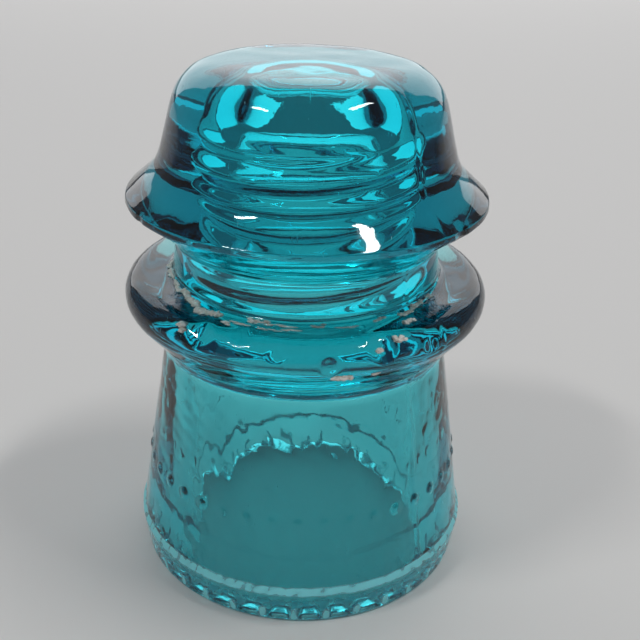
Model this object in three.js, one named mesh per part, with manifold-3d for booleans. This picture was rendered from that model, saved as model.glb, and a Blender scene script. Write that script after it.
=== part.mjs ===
// Pin-type line insulator: one piece of pressed teal glass.
// Units are millimetres, +Z is up, and the origin is the centre of the base,
// on the plane that the base ribs stand on.
import * as THREE from 'three';
import { mergeVertices } from 'three/addons/utils/BufferGeometryUtils.js';
import Module from 'manifold-3d';

// Driving dimensions of the outside. The widest ridge is the flange: its corner is at
// FLANGE_CORNER_R before the fillet, which brings the finished ridge to 70 mm across.
const HEIGHT = 99.4;
const BASE_R = 32.9;
const BASE_RING_R = 34.0;
const BASE_RING_Z = 7.0;
const BASE_RING_TOP = 8.2;
const SKIRT_FOOT_R = 33.4;
const NECK_R = 27.6;
const NECK_Z = 46.1;
const FLANGE_LOW_R = 34.3;
const FLANGE_LOW_Z = 54.0;
const FLANGE_CORNER_R = 37.2;
const FLANGE_TOP_Z = 60.5;
const FLANGE_FILLET = 3.9;
const GROOVE_FOOT_R = 25.6;
const GROOVE_FOOT_Z = 59.8;
const GROOVE_R = 25.0;
const GROOVE_TOP_Z = 68.0;
const UMBRELLA_R = 33.9;
const UMBRELLA_LOW_Z = 74.8;
const UMBRELLA_TOP_R = 33.8;
const UMBRELLA_TOP_Z = 75.9;
const CROWN_FOOT_R = 28.0;
const CROWN_FOOT_Z = 81.0;
const SHOULDER_R = 23.4;
const CROWN_RISE = 0.2;

// The skirt cavity and the threaded hole for a 1 inch pin: 4 threads per inch,
// tapering by 1/16 inch of diameter per inch of height, under a shallow dome.
const BASE_WALL = 7.6;
const CAVITY_TOP_R = 20.8;
const CAVITY_TOP_Z = 44.0;
const THREAD_FOOT_Z = 48.0;
const PIN_HOLE_TOP = 91.0;
const DOME_FLAT_R = 4.0;
const DOME_R = 8.5;
const DOME_DROP = 0.9;
const DOME_EDGE_R = 11.8;
const DOME_EDGE_DROP = 2.7;
const DOME_DEPTH = 5.5;
const PIN_HOLE_R = 12.8;
const PIN_TAPER = 1 / 32;
const THREAD_PITCH = 25.4 / 4;
const THREAD_DEPTH = 1.4;
const THREAD_MARGIN = 0.4;

// Where the thread groove deepens, flattens and ends, as parts of one pitch.
const GROOVE_DEEP = 0.34;
const GROOVE_FLAT = 0.46;
const GROOVE_END = 0.8;

// Radial ribs under the base, level with the narrow rim around them.
const RIM_WIDTH = 1.2;
const RIM_SLOPE = 0.3;
const RIB_COUNT = 34;
const RIB_HEIGHT = 1.1;
const RIB_TIP_WIDTH = 1.5;
const RIB_ROOT_WIDTH = 2.6;
const RIB_EMBED = 0.5;
const RIB_INSET = 0.6;
const RIB_OVERLAP = 0.2;
const RIB_PHASE = THREE.MathUtils.degToRad(-90.5);

const SEGMENTS = 40;
const ARC_STEP = THREE.MathUtils.degToRad(32);

const wasm = await Module();
wasm.setup();

/** Arc points that round the corner `p` between its neighbours `a` and `b`. */
function roundCorner(a, p, b, radius) {
  const toA = a.clone().sub(p).normalize();
  const toB = b.clone().sub(p).normalize();
  const half = Math.acos(THREE.MathUtils.clamp(toA.dot(toB), -1, 1)) / 2;
  const reach = radius / Math.tan(half);
  const centre = toA.clone().add(toB).setLength(radius / Math.sin(half)).add(p);
  const from = p.clone().addScaledVector(toA, reach).sub(centre);
  const to = p.clone().addScaledVector(toB, reach).sub(centre);
  const sweep = Math.atan2(from.cross(to), from.dot(to));
  const steps = Math.max(1, Math.ceil(Math.abs(sweep) / ARC_STEP));
  return Array.from({ length: steps + 1 }, (_, i) =>
    from.clone().rotateAround(new THREE.Vector2(), (sweep * i) / steps).add(centre));
}

/** Turns corners of [radius, height, fillet] into an outline with round corners. */
function filletedOutline(corners) {
  const points = corners.map(([r, z]) => new THREE.Vector2(r, z));
  return points.flatMap((p, i) => {
    const fillet = corners[i][2];
    return fillet ? roundCorner(points[i - 1], p, points[i + 1], fillet) : [p];
  });
}

/** Radius of the pin hole between its threads, which widens downwards. */
function pinHoleRadius(z) {
  return PIN_HOLE_R + (PIN_HOLE_TOP - DOME_DEPTH - z) * PIN_TAPER;
}

/** Hollow outline, from the ceiling of the pin hole round to the crown's top. */
function glassOutline() {
  const cavity = [
    [0, PIN_HOLE_TOP, 0],
    [DOME_FLAT_R, PIN_HOLE_TOP, 0],
    [DOME_R, PIN_HOLE_TOP - DOME_DROP, 6],
    [DOME_EDGE_R, PIN_HOLE_TOP - DOME_EDGE_DROP, 3],
    [PIN_HOLE_R, PIN_HOLE_TOP - DOME_DEPTH, 3],
    [pinHoleRadius(THREAD_FOOT_Z), THREAD_FOOT_Z, 1.5],
    [CAVITY_TOP_R, CAVITY_TOP_Z, 4],
    [BASE_R - BASE_WALL, RIB_HEIGHT, 1.2],
    [BASE_R - RIM_WIDTH - RIM_SLOPE, RIB_HEIGHT, 0],
  ];
  const skirt = [
    [BASE_R - RIM_WIDTH, 0, 0],
    [BASE_R, 0, 0.6],
    [BASE_RING_R, BASE_RING_Z, 0.6],
    [SKIRT_FOOT_R, BASE_RING_TOP, 0],
    [NECK_R, NECK_Z, 4],
  ];
  const flange = [
    [FLANGE_LOW_R, FLANGE_LOW_Z, 3.4],
    [FLANGE_CORNER_R, FLANGE_TOP_Z, FLANGE_FILLET],
    [GROOVE_FOOT_R, GROOVE_FOOT_Z, 1.6],
  ];
  const umbrella = [
    [GROOVE_R, GROOVE_TOP_Z, 3],
    [UMBRELLA_R, UMBRELLA_LOW_Z, 0.5],
    [UMBRELLA_TOP_R, UMBRELLA_TOP_Z, 0.5],
  ];
  const crown = [
    [CROWN_FOOT_R, CROWN_FOOT_Z, 8],
    [SHOULDER_R, HEIGHT - CROWN_RISE, 7],
    [0, HEIGHT, 0],
  ];
  return filletedOutline([...cavity, ...skirt, ...flange, ...umbrella, ...crown]);
}

/** Merges a geometry's vertices and hands it to the solid library. */
function solidOf(geometry) {
  const bare = geometry.clone();
  bare.deleteAttribute('normal');
  bare.deleteAttribute('uv');
  const merged = mergeVertices(bare, 1e-4);
  return new wasm.Manifold(new wasm.Mesh({
    numProp: 3,
    vertProperties: new Float32Array(merged.attributes.position.array),
    triVerts: new Uint32Array(merged.index.array),
  }));
}

/** Gives a solid back as a geometry that a mesh can show. */
function geometryOf(solid) {
  const mesh = solid.getMesh();
  const geometry = new THREE.BufferGeometry();
  geometry.setAttribute('position', new THREE.BufferAttribute(mesh.vertProperties, 3));
  geometry.setIndex(new THREE.BufferAttribute(mesh.triVerts, 1));
  geometry.computeVertexNormals();
  return geometry;
}

/** The plain turned body: crown, groove, flange and skirt, hollow from below. */
function turnedBody() {
  const lathe = new THREE.LatheGeometry(glassOutline(), SEGMENTS);
  lathe.rotateX(Math.PI / 2);
  return solidOf(lathe);
}

/** Section of the thread groove at one turn angle: four corners, inner side first. */
function threadSection(angle) {
  const z = THREAD_FOOT_Z + THREAD_MARGIN + (THREAD_PITCH * angle) / (2 * Math.PI);
  const wall = pinHoleRadius(z);
  const inner = wall - THREAD_DEPTH;
  const outer = wall + THREAD_DEPTH;
  const corners = [
    [inner, z],
    [outer, z + THREAD_PITCH * GROOVE_DEEP],
    [outer, z + THREAD_PITCH * GROOVE_FLAT],
    [inner, z + THREAD_PITCH * GROOVE_END],
  ];
  return corners.map(([r, h]) => [r * Math.cos(angle), r * Math.sin(angle), h]);
}

/** Closed helical bar that cuts the thread into the wall of the pin hole. */
function threadCutter() {
  const wallTop = PIN_HOLE_TOP - DOME_DEPTH;
  const run = wallTop - THREAD_FOOT_Z - THREAD_PITCH * GROOVE_END - 2 * THREAD_MARGIN;
  const steps = Math.floor((run / THREAD_PITCH) * SEGMENTS);
  const positions = [];
  const index = [];
  for (let i = 0; i <= steps; i++) {
    positions.push(...threadSection((2 * Math.PI * i) / SEGMENTS).flat());
  }
  for (let i = 0; i < steps; i++) {
    for (let side = 0; side < 4; side++) {
      const a = 4 * i + side;
      const b = 4 * i + ((side + 1) % 4);
      index.push(a, a + 4, b, b, a + 4, b + 4);
    }
  }
  const end = 4 * steps;
  index.push(0, 1, 2, 0, 2, 3, end, end + 2, end + 1, end, end + 3, end + 2);
  const bar = new THREE.BufferGeometry();
  bar.setAttribute('position', new THREE.Float32BufferAttribute(positions, 3));
  bar.setIndex(index);
  return solidOf(bar);
}

/** One rib under the base, lying along +X, with a flat tip at z = 0. */
function ribGeometry() {
  const inner = BASE_R - BASE_WALL + RIB_INSET;
  const length = BASE_R - RIM_WIDTH + RIB_OVERLAP - inner;
  const top = RIB_HEIGHT + RIB_EMBED;
  const section = new THREE.Shape([
    new THREE.Vector2(-RIB_TIP_WIDTH / 2, 0),
    new THREE.Vector2(RIB_TIP_WIDTH / 2, 0),
    new THREE.Vector2(RIB_ROOT_WIDTH / 2, RIB_HEIGHT),
    new THREE.Vector2(RIB_ROOT_WIDTH / 2, top),
    new THREE.Vector2(-RIB_ROOT_WIDTH / 2, top),
    new THREE.Vector2(-RIB_ROOT_WIDTH / 2, RIB_HEIGHT),
  ]);
  const rib = new THREE.ExtrudeGeometry(section, { depth: length, bevelEnabled: false });
  rib.rotateX(Math.PI / 2);
  rib.rotateZ(Math.PI / 2);
  rib.translate(inner, 0, 0);
  return rib;
}

/** The ring of ribs under the base. */
function baseRibs() {
  return Array.from({ length: RIB_COUNT }, (_, i) =>
    solidOf(ribGeometry().rotateZ(RIB_PHASE + (2 * Math.PI * i) / RIB_COUNT)));
}

/** The whole glass piece: turned body, less the thread, plus the base ribs. */
function glassBody() {
  const threaded = turnedBody().subtract(threadCutter());
  const ribbed = baseRibs().reduce((body, rib) => body.add(rib), threaded);
  const glass = new THREE.MeshStandardMaterial({ color: 0x0d7f8c, roughness: 0.08, metalness: 0 });
  const mesh = new THREE.Mesh(geometryOf(ribbed), glass);
  mesh.name = 'glass_body';
  return mesh;
}

const insulator = new THREE.Group();
insulator.add(glassBody());

export default insulator;
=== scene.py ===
"""Looks of a pressed-glass pin insulator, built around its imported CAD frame.

Profile numbers are millimetres in the frame of the part (origin at the centre of the base,
+Z up) and turn into metres when the mesh is made. Angles are degrees about +Z, and -90 faces
the camera.
"""

import math

import bmesh
import bpy
import numpy as np
from mathutils import Matrix, Vector, noise


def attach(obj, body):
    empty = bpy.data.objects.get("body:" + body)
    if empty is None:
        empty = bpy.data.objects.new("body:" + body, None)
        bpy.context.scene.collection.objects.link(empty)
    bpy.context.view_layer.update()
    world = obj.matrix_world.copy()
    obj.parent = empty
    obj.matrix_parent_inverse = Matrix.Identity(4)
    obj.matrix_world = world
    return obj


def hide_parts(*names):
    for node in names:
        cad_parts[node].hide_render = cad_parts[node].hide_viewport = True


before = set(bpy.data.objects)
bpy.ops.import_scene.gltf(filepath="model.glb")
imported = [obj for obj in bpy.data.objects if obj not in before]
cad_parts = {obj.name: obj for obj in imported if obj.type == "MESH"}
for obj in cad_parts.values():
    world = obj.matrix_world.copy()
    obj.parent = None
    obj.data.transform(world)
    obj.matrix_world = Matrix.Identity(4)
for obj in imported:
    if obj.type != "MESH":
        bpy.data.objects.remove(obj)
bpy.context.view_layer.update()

MM = 0.001
FLOOR_Z = -0.0001
NODE = "glass_body"

# Outside of the glass, as in the CAD.
HEIGHT = 99.4
BASE_R = 32.9
BASE_RING_R = 34.0
BASE_RING_Z = 7.0
BASE_RING_TOP = 8.2
SKIRT_FOOT_R = 33.4
NECK_R = 27.6
NECK_Z = 46.1
FLANGE_LOW_R = 34.3
FLANGE_LOW_Z = 54.0
FLANGE_CORNER_R = 37.2
FLANGE_TOP_Z = 60.5
FLANGE_FILLET = 3.9
GROOVE_FOOT_R = 25.6
GROOVE_FOOT_Z = 59.8
GROOVE_R = 25.0
GROOVE_TOP_Z = 68.0
UMBRELLA_R = 33.9
UMBRELLA_LOW_Z = 74.8
UMBRELLA_TOP_R = 33.8
UMBRELLA_TOP_Z = 75.9
CROWN_FOOT_R = 28.0
CROWN_FOOT_Z = 81.0
SHOULDER_R = 23.4
CROWN_RISE = 0.2

# Inside of the glass, as in the CAD.
BASE_WALL = 7.6
CAVITY_TOP_R = 20.8
CAVITY_TOP_Z = 44.0
THREAD_FOOT_Z = 48.0
PIN_HOLE_TOP = 91.0
DOME_FLAT_R = 4.0
DOME_R = 8.5
DOME_DROP = 0.9
DOME_EDGE_R = 11.8
DOME_EDGE_DROP = 2.7
DOME_DEPTH = 5.5
PIN_HOLE_R = 12.8
PIN_TAPER = 1 / 32
THREAD_PITCH = 25.4 / 4
THREAD_DEPTH = 1.4

# Ribs under the base, level with the narrow rim around them.
RIM_WIDTH = 1.2
RIM_SLOPE = 0.3
RIB_COUNT = 34
RIB_HEIGHT = 1.1
RIB_PHASE = -90.5

# Traces of pressing and of use.
SEAM_ANGLE = -45.0
SEAM_HEIGHT = 0.07
SEAM_CORE = 0.1
SEAM_EDGE = 0.7
SEAM_FADE_R = (20, 24)
DOT_RING_R = SKIRT_FOOT_R * 0.94
DOT_RING_Z = 21.5
DOT_PITCH = 9
DOT_HEIGHT = 0.35
DOT_CORE = 0.5
DOT_EDGE = 1.3
CHIP_RIPPLE = 0.12
CHIP_RINGS = 16

# How far apart the bumps of the surface are.
SLOW_WAVE = 8
QUICK_WAVE = 2.6
PITTING = 1.5
FROST_PATCH = 1.9

# Chips knocked out of the ridges: angle, distance from the axis, height, reach and depth.
CHIPS = [
    (-121, 33.0, 58.6, 2.6, 0.55), (-108, 32.0, 59.4, 2.2, 0.40), (-97, 33.6, 58.0, 1.8, 0.40),
    (-66, 33.4, 58.2, 2.8, 0.60), (-82, 34.6, 56.4, 1.8, 0.45), (-50, 34.4, 57.0, 1.5, 0.35),
    (-38, 33.8, 75.4, 2.0, 0.45), (-148, 33.9, 75.3, 1.3, 0.30), (64, 34.2, 57.6, 2.4, 0.50),
    (118, 33.9, 75.3, 1.8, 0.40), (170, 34.6, 56.5, 1.6, 0.35),
]

# Dried dirt on the lower flange: angle, distance from the axis, length round it, and width.
CRUST = [
    (-176, 26.2, 3.0, 0.8), (-166, 26.1, 4.0, 1.0), (-155, 26.2, 3.5, 0.9), (-146, 26.3, 4.0, 1.3),
    (-137, 26.9, 3.0, 1.6), (-129, 28.3, 2.6, 2.0), (-124, 27.6, 2.2, 1.6), (-116, 29.5, 1.0, 0.8),
    (-128, 33.6, 1.6, 1.6), (-106, 26.6, 4.0, 0.7), (-96, 27.0, 3.0, 0.5), (-84, 26.6, 2.6, 0.5),
    (-60, 26.6, 2.4, 0.7), (-48, 27.2, 3.0, 0.9), (-40, 26.4, 3.4, 1.0), (-52, 29.8, 2.4, 1.2),
    (-60, 33.4, 2.6, 1.3), (-78, 34.3, 3.2, 1.5), (-68, 34.4, 1.4, 1.0), (-30, 26.3, 2.0, 0.8),
    (-112, 28.4, 3.4, 0.35), (-101, 29.0, 4.2, 0.3), (-94, 28.2, 3.0, 0.4), (-74, 27.6, 3.6, 0.35),
]

# Dirt is laid in crumbs along each stretch of crust.
CRUMB_STEP = 0.6
CRUMB_LENGTH = 1.5
CRUMB_SCATTER = 0.35
CRUMB_TALLEST = 0.4

# Optics of soda-lime glass. It absorbs red most, and the density is per metre.
GLASS_IOR = 1.52
GLASS_TINT = (0.0, 0.865, 0.903, 1)
GLASS_DENSITY = 155

# Lights: name, place, size in metres, and power in watts.
LIGHT_TARGET = (0, 0, 0.05)
LIGHTS = [
    ("back_panel", (0, 1.2, 0.6), (2.4, 1.1), 9.5),
    ("right_strip", (0.42, -0.09, 0.92), (0.34, 0.06), 2.2),
    ("left_strip", (-0.46, -0.3, 0.84), (0.2, 0.06), 1.5),
]
WORLD_COLOR = (0.85, 0.9, 1.0, 1)
WORLD_STRENGTH = 0.2
LIGHT_BOUNCES = 24

# Camera: metres and degrees. The aim is off the middle of the picture by the two slopes.
CAMERA_AIM = (0, 0, 0.045)
CAMERA_DISTANCE = 0.20154
CAMERA_PITCH = 26.02
CAMERA_ROLL = -1.67
CAMERA_SLOPE_RIGHT = -15.27 / 1000
CAMERA_SLOPE_DOWN = 14.08 / 1000
CAMERA_LENS = 56.25

COLUMNS_PER_RIB = 12
ROW_STEP = 0.5
ARC_STEP = 6.0


def round_corner(a, p, b, radius):
    """Arc points that round the corner p between its neighbours a and b."""
    to_a = (a - p) / np.linalg.norm(a - p)
    to_b = (b - p) / np.linalg.norm(b - p)
    half = math.acos(float(np.clip(to_a @ to_b, -1, 1))) / 2
    middle = (to_a + to_b) / np.linalg.norm(to_a + to_b)
    centre = p + middle * radius / math.sin(half)
    start = p + to_a * radius / math.tan(half) - centre
    end = p + to_b * radius / math.tan(half) - centre
    sweep = math.atan2(start[0] * end[1] - start[1] * end[0], float(start @ end))
    steps = max(2, math.ceil(abs(math.degrees(sweep)) / ARC_STEP))
    turns = [sweep * i / steps for i in range(steps + 1)]
    return [centre + np.array([start[0] * math.cos(t) - start[1] * math.sin(t),
                               start[0] * math.sin(t) + start[1] * math.cos(t)]) for t in turns]


def filleted_outline(corners):
    """Outline through corners of (radius, height, fillet), with the fillets as arcs."""
    points = [np.array(c[:2], float) for c in corners]
    outline = []
    for i, (p, corner) in enumerate(zip(points, corners)):
        if corner[2]:
            outline += round_corner(points[i - 1], p, points[i + 1], corner[2])
        else:
            outline.append(p)
    return np.array(outline)


def even_steps(outline, step):
    """The outline again, with points about one step apart and its own corners kept."""
    rows = [outline[0]]
    for a, b in zip(outline[:-1], outline[1:]):
        count = max(1, round(float(np.linalg.norm(b - a)) / step))
        rows += [a + (b - a) * k / count for k in range(1, count + 1)]
    return np.array(rows)


def blurred(outline, spread):
    """The outline with each point averaged along it, mirrored at its ends on the axis."""
    reach = math.ceil(3 * spread)
    weights = np.exp(-0.5 * (np.arange(-reach, reach + 1) / spread) ** 2)
    weights /= weights.sum()
    mirror = np.array([-1, 1])
    padded = np.concatenate([outline[reach:0:-1] * mirror, outline,
                             outline[-2:-reach - 2:-1] * mirror])
    return np.stack([np.convolve(padded[:, k], weights, "valid") for k in (0, 1)], 1)


def softened(outline):
    """Fire-polished outline: no sudden change of bend, and a rounder shoulder on the crown."""
    crown = smooth(CROWN_FOOT_Z - 4, CROWN_FOOT_Z + 4, outline[:, 1:])
    crown = crown * (np.arange(len(outline)) > len(outline) // 2)[:, None]
    return blurred(outline, 0.9) * (1 - crown) + blurred(outline, 4.0) * crown


def pin_hole_radius(z):
    """Radius of the pin hole between its threads, which widens downwards."""
    return PIN_HOLE_R + (PIN_HOLE_TOP - DOME_DEPTH - z) * PIN_TAPER


def glass_outline():
    """Hollow outline, from the ceiling of the pin hole round to the top of the crown."""
    cavity = [
        (0, PIN_HOLE_TOP, 0),
        (DOME_FLAT_R, PIN_HOLE_TOP, 5),
        (DOME_R, PIN_HOLE_TOP - DOME_DROP, 6),
        (DOME_EDGE_R, PIN_HOLE_TOP - DOME_EDGE_DROP, 3),
        (PIN_HOLE_R, PIN_HOLE_TOP - DOME_DEPTH, 3),
        (pin_hole_radius(THREAD_FOOT_Z), THREAD_FOOT_Z, 1.5),
        (CAVITY_TOP_R, CAVITY_TOP_Z, 4),
        (BASE_R - BASE_WALL, RIB_HEIGHT, 1.2),
        (BASE_R - RIM_WIDTH - RIM_SLOPE, RIB_HEIGHT, 0),
    ]
    skirt = [
        (BASE_R - RIM_WIDTH, 0, 0),
        (BASE_R, 0, 0.6),
        (BASE_RING_R, BASE_RING_Z, 0.6),
        (SKIRT_FOOT_R, BASE_RING_TOP, 0.5),
        (NECK_R, NECK_Z, 4),
    ]
    flange = [
        (FLANGE_LOW_R, FLANGE_LOW_Z, 3.4),
        (FLANGE_CORNER_R, FLANGE_TOP_Z, FLANGE_FILLET),
        (GROOVE_FOOT_R, GROOVE_FOOT_Z, 1.6),
    ]
    umbrella = [
        (GROOVE_R, GROOVE_TOP_Z, 3),
        (UMBRELLA_R, UMBRELLA_LOW_Z, 0.5),
        (UMBRELLA_TOP_R, UMBRELLA_TOP_Z, 0.5),
    ]
    crown = [
        (CROWN_FOOT_R, CROWN_FOOT_Z, 8),
        (SHOULDER_R, HEIGHT - CROWN_RISE, 7),
        (0, HEIGHT, 0),
    ]
    outline = even_steps(filleted_outline(cavity + skirt + flange + umbrella + crown), ROW_STEP)
    return softened(outline)


def smooth(low, high, value):
    """0 below low, 1 above high, and a smooth ramp between."""
    t = np.clip((value - low) / (high - low), 0, 1)
    return t * t * (3 - 2 * t)


def thread_cut(radius, height, angle):
    """How far the rounded thread cuts into the wall of the pin hole."""
    phase = (height - THREAD_FOOT_Z) / THREAD_PITCH - angle / (2 * math.pi)
    groove = (0.5 - 0.5 * np.cos(2 * math.pi * phase)) ** 0.8
    run_in = smooth(THREAD_FOOT_Z + 0.5, THREAD_FOOT_Z + 4, height)
    run_out = 1 - smooth(PIN_HOLE_TOP - 7.5, PIN_HOLE_TOP - 4.5, height)
    on_wall = (radius < pin_hole_radius(THREAD_FOOT_Z) + 0.6) & (height < PIN_HOLE_TOP - 0.01)
    inside = np.where(on_wall & (height > THREAD_FOOT_Z), 1.0, 0.0)
    return THREAD_DEPTH * groove * run_in * run_out * inside


def rib_offset(radius, angle):
    """Distance round the base to the middle of the nearest rib."""
    pitch = 360.0 / RIB_COUNT
    across = (np.degrees(angle) - RIB_PHASE + pitch / 2) % pitch - pitch / 2
    return np.abs(np.radians(across)) * radius


def rib_drop(radius, height, angle):
    """How far the ribs reach down below the sunk part of the base."""
    shape = 1 - smooth(0.55, 1.3, rib_offset(radius, angle))
    inner = BASE_R - BASE_WALL
    ends = smooth(inner + 0.3, inner + 1.2, radius) * np.where(radius < BASE_R - 0.3, 1.0, 0.0)
    under = np.where(height < RIB_HEIGHT + 0.4, 1.0, 0.0)
    return np.minimum(RIB_HEIGHT * shape * ends * under, np.maximum(height, 0))


def ripple(x, y, z, wavelength, seed):
    """Smooth random height from -1 to 1 or so, with bumps about one wavelength apart."""
    random = np.random.default_rng(seed)
    total = np.zeros_like(x)
    for _ in range(14):
        direction = random.normal(size=3)
        direction *= 2 * math.pi / wavelength / np.linalg.norm(direction)
        wave = direction[0] * x + direction[1] * y + direction[2] * z
        total += np.sin(wave * random.uniform(0.6, 1.4) + random.uniform(0, 2 * math.pi))
    return total / 4


def ring_dots(height, angle):
    """A plain ring of raised dots round the skirt."""
    pitch = math.radians(DOT_PITCH)
    across = ((angle + pitch / 2) % pitch - pitch / 2) * DOT_RING_R
    from_centre = np.hypot(across, height - DOT_RING_Z)
    return DOT_HEIGHT * (1 - smooth(DOT_CORE, DOT_EDGE, from_centre))


def seam_ridge(radius, angle):
    """The two thin raised lines that the halves of the mould leave."""
    turn = math.radians(SEAM_ANGLE)
    across = (angle - turn + math.pi / 2) % math.pi - math.pi / 2
    line = 1 - smooth(SEAM_CORE, SEAM_EDGE, np.abs(across) * radius)
    return SEAM_HEIGHT * line * smooth(*SEAM_FADE_R, radius)


def chip_depth(x, y, z):
    """Shallow shell-shaped dents, each with a few faint ripples inside."""
    depth = np.zeros_like(x)
    for angle, radius, height, reach, deep in CHIPS:
        turn = math.radians(angle)
        away = np.sqrt((x - radius * math.cos(turn)) ** 2 + (y - radius * math.sin(turn)) ** 2
                       + (z - height) ** 2) / reach
        shell = np.clip(1 - away ** 2, 0, 1)
        depth = np.maximum(depth, deep * shell * (1 + CHIP_RIPPLE * np.cos(away * CHIP_RINGS)))
    return depth


def surface_relief(radius, height, angle, outside):
    """Height of the waves, seams, dots and chips above or below the turned shape."""
    x, y = radius * np.cos(angle), radius * np.sin(angle)
    skirt = 1 - smooth(NECK_Z - 3, NECK_Z + 4, height)
    base = 1 - smooth(2, BASE_RING_TOP + 1, height)
    slow = ripple(x, y, height * 0.45, SLOW_WAVE, seed=1)
    quick = ripple(x, y, height * 0.8, QUICK_WAVE, seed=2)
    pitted = ripple(x, y, height, PITTING, seed=3)
    waves = (0.03 + 0.03 * skirt) * slow + (0.004 + 0.012 * skirt) * quick + 0.03 * base * pitted
    marks = seam_ridge(radius, angle) + ring_dots(height, angle) - chip_depth(x, y, height)
    in_hole = (radius < CAVITY_TOP_R - 4) & (height > THREAD_FOOT_Z - 3) & ~outside
    hole = np.where(in_hole, 0.4, 1.0)
    return waves * hole + np.where(outside & (height > BASE_RING_TOP), marks, 0.0)


def row_normals(rows):
    """Normals of the outline, pointing out of the glass."""
    along = np.gradient(rows, axis=0)
    normals = np.stack([along[:, 1], -along[:, 0]], 1)
    return normals / np.linalg.norm(normals, axis=1, keepdims=True)


def turned_grid(outline, columns):
    """Points of the turned outline, one row per outline point without the poles, and how
    worn the glass is at each, together with the painted highlight on the step of the base ring."""
    rows = outline[1:-1]
    normals = row_normals(outline)[1:-1]
    angle = np.repeat(np.arange(columns)[None, :] * 2 * math.pi / columns, len(rows), 0)
    radius = np.repeat(rows[:, :1], columns, 1)
    height = np.repeat(rows[:, 1:], columns, 1)
    base_row = int(np.argmax(rows[:, 0] * (rows[:, 1] < 0.5)))
    outside = np.repeat((np.arange(len(rows)) > base_row)[:, None], columns, 1)
    relief = surface_relief(radius, height, angle, outside)
    relief *= smooth(0, 5, radius) * smooth(0.2, 2.5, height)
    cut = thread_cut(radius, height, angle)
    drop = rib_drop(radius, height, angle)
    radius = radius + cut + relief * normals[:, :1]
    height = np.maximum(height - drop + relief * normals[:, 1:], 0)
    points = np.stack([radius * np.cos(angle), radius * np.sin(angle), height], 2)
    return points, wear_and_highlight_amount(radius, height, angle, outside)


def wear_and_highlight_amount(radius, height, angle, outside):
    """How frosted the glass is: ribs and rim of the base, worn; and the step of the base ring,
    made milky as a painted highlight that stands in for the bright ring of light the step catches.
    """
    x, y = radius * np.cos(angle), radius * np.sin(angle)
    patchy = smooth(-0.9, 0.6, ripple(x, y, height, FROST_PATCH, seed=5))
    foot = (1 - smooth(0.15, 0.9, height)) * 0.8
    # Painted highlight: the step of the base ring is made milky and pale so that it shows as a
    # bright ring of light.
    step = smooth(BASE_RING_TOP - 1.9, BASE_RING_TOP - 0.9, height)
    step *= 1 - smooth(BASE_RING_TOP - 0.3, BASE_RING_TOP + 0.5, height)
    step *= np.where(outside, 1.0, 0.0)
    inner = (1 - smooth(1.5, 3.5, height)) * np.where(radius < BASE_R - BASE_WALL + 1.2, 0.7, 0.0)
    bars = 1 - smooth(0.4, 0.95, rib_offset(radius, angle))
    bars *= (1 - smooth(2.6, 3.9, height)) * np.where(outside, 1.0, 0.0)
    wear_and_highlight = np.maximum(np.maximum(foot, step), np.maximum(inner, bars))
    return np.clip(wear_and_highlight * (0.45 + 0.55 * patchy), 0, 1)


def grid_faces(row_count, columns, first_pole, last_pole):
    """Quads between the rows and fans to the two poles, facing out of the glass."""
    faces = []
    for j in range(columns):
        k = (j + 1) % columns
        faces.append((first_pole, k, j))
        end = (row_count - 1) * columns
        faces.append((last_pole, end + j, end + k))
    for i in range(row_count - 1):
        a, b = i * columns, (i + 1) * columns
        faces += [(a + j, a + (j + 1) % columns, b + (j + 1) % columns, b + j)
                  for j in range(columns)]
    return faces


def glass_mesh():
    """The glass body as one closed fine mesh."""
    outline = glass_outline()
    columns = RIB_COUNT * COLUMNS_PER_RIB
    grid, wear_and_highlight = turned_grid(outline, columns)
    points = np.concatenate([grid.reshape(-1, 3), [[0, 0, outline[0, 1]], [0, 0, outline[-1, 1]]]])
    count = len(points)
    mesh = bpy.data.meshes.new("glass")
    faces = grid_faces(len(grid), columns, count - 2, count - 1)
    mesh.from_pydata((points * MM).tolist(), [], faces)
    layer = mesh.attributes.new("wear_and_highlight", "FLOAT", "POINT")
    layer.data.foreach_set("value", np.concatenate([wear_and_highlight.ravel(), [0, 0]]))
    mesh.validate()
    mesh.polygons.foreach_set("use_smooth", [True] * len(mesh.polygons))
    mesh.update()
    return mesh


def node(tree, kind, **inputs):
    """A new shader node with some of its inputs set."""
    made = tree.nodes.new(kind)
    for name, value in inputs.items():
        made.inputs[name.replace("_", " ")].default_value = value
    return made


def ramp(tree, source, low, high, from_value, to_value):
    """Maps a value range on to another one, clamped and smooth."""
    made = node(tree, "ShaderNodeMapRange", From_Min=low, From_Max=high, To_Min=from_value,
                To_Max=to_value)
    made.interpolation_type = "SMOOTHSTEP"
    tree.links.new(source, made.inputs["Value"])
    return made.outputs["Result"]


def combine(tree, how, a, b):
    """Joins two values with one math operation."""
    made = tree.nodes.new("ShaderNodeMath")
    made.operation = how
    tree.links.new(a, made.inputs[0])
    tree.links.new(b, made.inputs[1])
    return made.outputs["Value"]


def new_material(name):
    """A new material, with its node tree and its shader."""
    material = bpy.data.materials.new(name)
    material.use_nodes = True
    tree = material.node_tree
    return material, tree, tree.nodes["Principled BSDF"]


def wear_and_highlight_value(tree):
    """The mesh's own measure of how frosted the glass is, including the painted highlight on the
    step of the base ring.
    """
    wear_and_highlight = tree.nodes.new("ShaderNodeAttribute")
    wear_and_highlight.attribute_name = "wear_and_highlight"
    return wear_and_highlight.outputs["Fac"]


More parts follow.
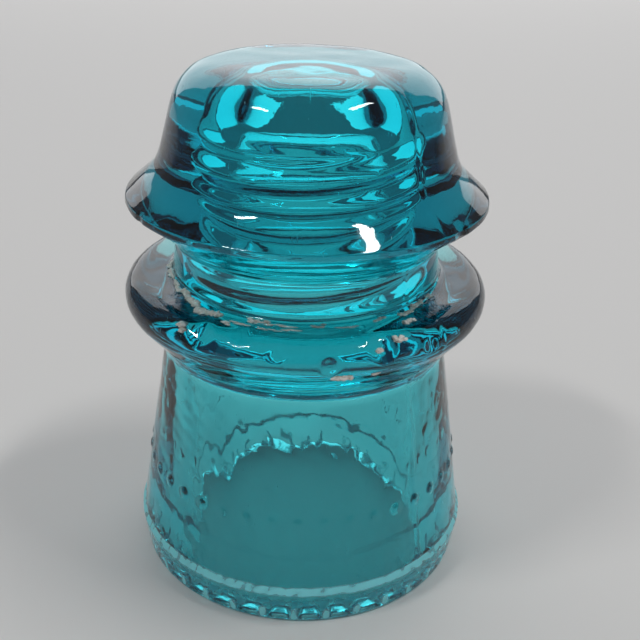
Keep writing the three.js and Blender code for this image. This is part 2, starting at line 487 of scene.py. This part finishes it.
def glass_roughness(tree, place):
    """Clear glass with faint smudges and fine scratches, frosted where the base is worn and on the
    step of the base ring that carries the painted highlight.
    """
    smudge = node(tree, "ShaderNodeTexNoise", Scale=90.0, Detail=4.0)
    tree.links.new(place, smudge.inputs["Vector"])
    film = ramp(tree, smudge.outputs["Fac"], 0.45, 0.75, 0.015, 0.09)
    stretch = tree.nodes.new("ShaderNodeMapping")
    stretch.inputs["Scale"].default_value = (3000, 260, 420)
    stretch.inputs["Rotation"].default_value = (0.4, 0.7, 0.3)
    tree.links.new(place, stretch.inputs["Vector"])
    scratch = node(tree, "ShaderNodeTexNoise", Scale=1.0, Detail=2.0)
    tree.links.new(stretch.outputs["Vector"], scratch.inputs["Vector"])
    lines = ramp(tree, scratch.outputs["Fac"], 0.70, 0.76, 0.0, 0.3)
    frost = ramp(tree, wear_and_highlight_value(tree), 0.0, 1.0, 0.0, 0.5)
    return combine(tree, "MAXIMUM", combine(tree, "MAXIMUM", film, lines), frost)


def milky_wear_and_highlight(tree, shader):
    """Makes the glass milky where it is worn, and on the step of the base ring as a painted
    highlight: less see-through, and pale turquoise.
    """
    wear_and_highlight = wear_and_highlight_value(tree)
    clear = ramp(tree, wear_and_highlight, 0.1, 0.9, 1.0, 0.15)
    tree.links.new(clear, shader.inputs["Transmission Weight"])
    # Pale turquoise milky colour; on the step of the base ring it is a painted highlight.
    tint = tree.nodes.new("ShaderNodeValToRGB")
    tint.color_ramp.elements[0].position = 0.05
    tint.color_ramp.elements[0].color = (1, 1, 1, 1)
    tint.color_ramp.elements[1].position = 0.6
    tint.color_ramp.elements[1].color = (0.3, 0.95, 1.0, 1)
    tree.links.new(wear_and_highlight, tint.inputs["Fac"])
    tree.links.new(tint.outputs["Color"], shader.inputs["Base Color"])


def glass_bump(tree, place):
    """Fine orange-peel of pressed glass."""
    peel = node(tree, "ShaderNodeTexNoise", Scale=520.0, Detail=3.0)
    tree.links.new(place, peel.inputs["Vector"])
    bump = node(tree, "ShaderNodeBump", Strength=0.12, Distance=0.0001)
    tree.links.new(peel.outputs["Fac"], bump.inputs["Height"])
    return bump.outputs["Normal"]


def teal_glass():
    """Clear teal glass: colour by depth, so the crown is deep and the skirt pale."""
    material, tree, shader = new_material("teal_glass")
    shader.inputs["IOR"].default_value = GLASS_IOR
    milky_wear_and_highlight(tree, shader)
    place = tree.nodes.new("ShaderNodeTexCoord").outputs["Object"]
    tree.links.new(glass_roughness(tree, place), shader.inputs["Roughness"])
    tree.links.new(glass_bump(tree, place), shader.inputs["Normal"])
    depth = tree.nodes.new("ShaderNodeVolumeAbsorption")
    depth.inputs["Color"].default_value = GLASS_TINT
    depth.inputs["Density"].default_value = GLASS_DENSITY
    tree.links.new(depth.outputs["Volume"], tree.nodes["Material Output"].inputs["Volume"])
    return material


def add_glass():
    """The glass piece, standing for its CAD node."""
    glass = bpy.data.objects.new("glass", glass_mesh())
    bpy.context.scene.collection.objects.link(glass)
    glass.data.materials.append(teal_glass())
    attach(glass, "root")
    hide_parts(NODE)


def surface_height(outline, radius):
    """Height of the flange's upper face, or of its rim, at a distance from the axis."""
    top = outline[(outline[:, 0] > GROOVE_R + 1) & (outline[:, 1] > FLANGE_LOW_Z)
                  & (outline[:, 1] < FLANGE_TOP_Z + 0.5)]
    return float(np.interp(-radius, -top[:, 0], top[:, 1]))


def crust_patch(random, centre, length, width, turn):
    """Mesh of one lumpy crumb of dried dirt, flattened on to the glass."""
    bm = bmesh.new()
    bmesh.ops.create_icosphere(bm, subdivisions=3, radius=1)
    shift = Vector(random.uniform(0, 50, 3).tolist())
    for vertex in bm.verts:
        lump = noise.noise(vertex.co * 1.3 + shift) + 0.5 * noise.noise(vertex.co * 3.1 + shift)
        vertex.co *= 1 + 0.55 * lump
    size = Matrix.Diagonal((length / 2, width / 2, min(width / 3, CRUMB_TALLEST), 1))
    bm.transform(Matrix.Translation(centre) @ Matrix.Rotation(math.radians(turn), 4, "Z") @ size)
    mesh = bpy.data.meshes.new("crumb")
    bm.to_mesh(mesh)
    bm.free()
    return mesh


def dry_crust():
    """Chalky, slightly porous dirt that has dried on the glass."""
    material, tree, shader = new_material("dry_crust")
    shader.inputs["Roughness"].default_value = 0.9
    grain = node(tree, "ShaderNodeTexNoise", Scale=1400, Detail=5)
    place = tree.nodes.new("ShaderNodeTexCoord")
    tree.links.new(place.outputs["Object"], grain.inputs["Vector"])
    tint = tree.nodes.new("ShaderNodeValToRGB")
    tint.color_ramp.elements[0].position = 0.35
    tint.color_ramp.elements[0].color = (0.62, 0.58, 0.50, 1)
    tint.color_ramp.elements[1].position = 0.62
    tint.color_ramp.elements[1].color = (0.92, 0.90, 0.84, 1)
    tree.links.new(grain.outputs["Fac"], tint.inputs["Fac"])
    tree.links.new(tint.outputs["Color"], shader.inputs["Base Color"])
    bump = node(tree, "ShaderNodeBump", Strength=0.6, Distance=0.0002)
    tree.links.new(grain.outputs["Fac"], bump.inputs["Height"])
    tree.links.new(bump.outputs["Normal"], shader.inputs["Normal"])
    return material


def add_crust():
    """Crumbs of dried dirt along the foot of the groove and on the lower flange."""
    random = np.random.default_rng(11)
    outline = glass_outline()
    material = dry_crust()
    joined = bmesh.new()
    for angle, radius, length, width in CRUST:
        count = max(1, round(length / CRUMB_STEP))
        for k in range(count):
            turn = angle + math.degrees((k - (count - 1) / 2) * CRUMB_STEP / radius)
            out = radius + random.uniform(-CRUMB_SCATTER, CRUMB_SCATTER)
            way = math.radians(turn)
            spot = Vector((out * math.cos(way), out * math.sin(way), surface_height(outline, out)))
            part = crust_patch(random, spot, CRUMB_LENGTH * random.uniform(0.6, 1.2),
                               width * random.uniform(0.6, 1.2), turn + 90)
            joined.from_mesh(part)
            bpy.data.meshes.remove(part)
    joined.transform(Matrix.Scale(MM, 4))
    mesh = bpy.data.meshes.new("crust")
    joined.to_mesh(mesh)
    joined.free()
    for face in mesh.polygons:
        face.use_smooth = True
    crust = bpy.data.objects.new("crust", mesh)
    crust.data.materials.append(material)
    bpy.context.scene.collection.objects.link(crust)
    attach(crust, "root")


def add_floor():
    """Plain pale floor."""
    bpy.ops.mesh.primitive_plane_add(size=6, location=(0, 0, FLOOR_Z))
    floor = bpy.context.active_object
    floor.name = "floor"
    material, _, shader = new_material("floor")
    shader.inputs["Base Color"].default_value = (0.8, 0.78, 0.75, 1)
    shader.inputs["Roughness"].default_value = 0.6
    floor.data.materials.append(material)


def add_area(name, location, target, size, power):
    """A rectangular soft light that faces its target. Sizes are metres, power is watts."""
    light = bpy.data.lights.new(name, "AREA")
    light.shape = "RECTANGLE"
    light.size, light.size_y = size
    light.energy = power
    lamp = bpy.data.objects.new(name, light)
    lamp.location = location
    aim = Vector(target) - Vector(location)
    lamp.rotation_euler = aim.to_track_quat("-Z", "Y").to_euler()
    bpy.context.scene.collection.objects.link(lamp)


def add_lights():
    """Soft studio light: a wide pale panel behind, two strips overhead and a weak fill."""
    for name, location, size, power in LIGHTS:
        add_area(name, location, LIGHT_TARGET, size, power)
    world = bpy.data.worlds.new("studio")
    world.use_nodes = True
    background = world.node_tree.nodes["Background"]
    background.inputs["Color"].default_value = WORLD_COLOR
    background.inputs["Strength"].default_value = WORLD_STRENGTH
    bpy.context.scene.world = world


def add_camera():
    """Camera at the viewing angle of the photograph: close, and looking down."""
    pitch = math.radians(CAMERA_PITCH)
    roll = math.radians(CAMERA_ROLL)
    forward = Vector((0, math.cos(pitch), -math.sin(pitch)))
    right = Vector((1, 0, 0))
    down = Vector((0, -math.sin(pitch), -math.cos(pitch)))
    rolled_right = right * math.cos(roll) + down * math.sin(roll)
    rolled_down = -right * math.sin(roll) + down * math.cos(roll)
    offset = forward + CAMERA_SLOPE_RIGHT * rolled_right + CAMERA_SLOPE_DOWN * rolled_down
    place = Vector(CAMERA_AIM) - CAMERA_DISTANCE * offset
    data = bpy.data.cameras.new("camera")
    data.lens = CAMERA_LENS
    data.sensor_width = 36
    data.clip_start = 0.01
    camera = bpy.data.objects.new("camera", data)
    turn = Matrix((rolled_right, -rolled_down, -forward)).transposed()
    camera.matrix_world = Matrix.Translation(place) @ turn.to_4x4()
    bpy.context.scene.collection.objects.link(camera)
    bpy.context.scene.camera = camera


bpy.context.scene.view_settings.view_transform = "Standard"
bpy.context.scene.cycles.max_bounces = LIGHT_BOUNCES
bpy.context.scene.cycles.transmission_bounces = LIGHT_BOUNCES
add_camera()
add_glass()
add_crust()
add_floor()
add_lights()
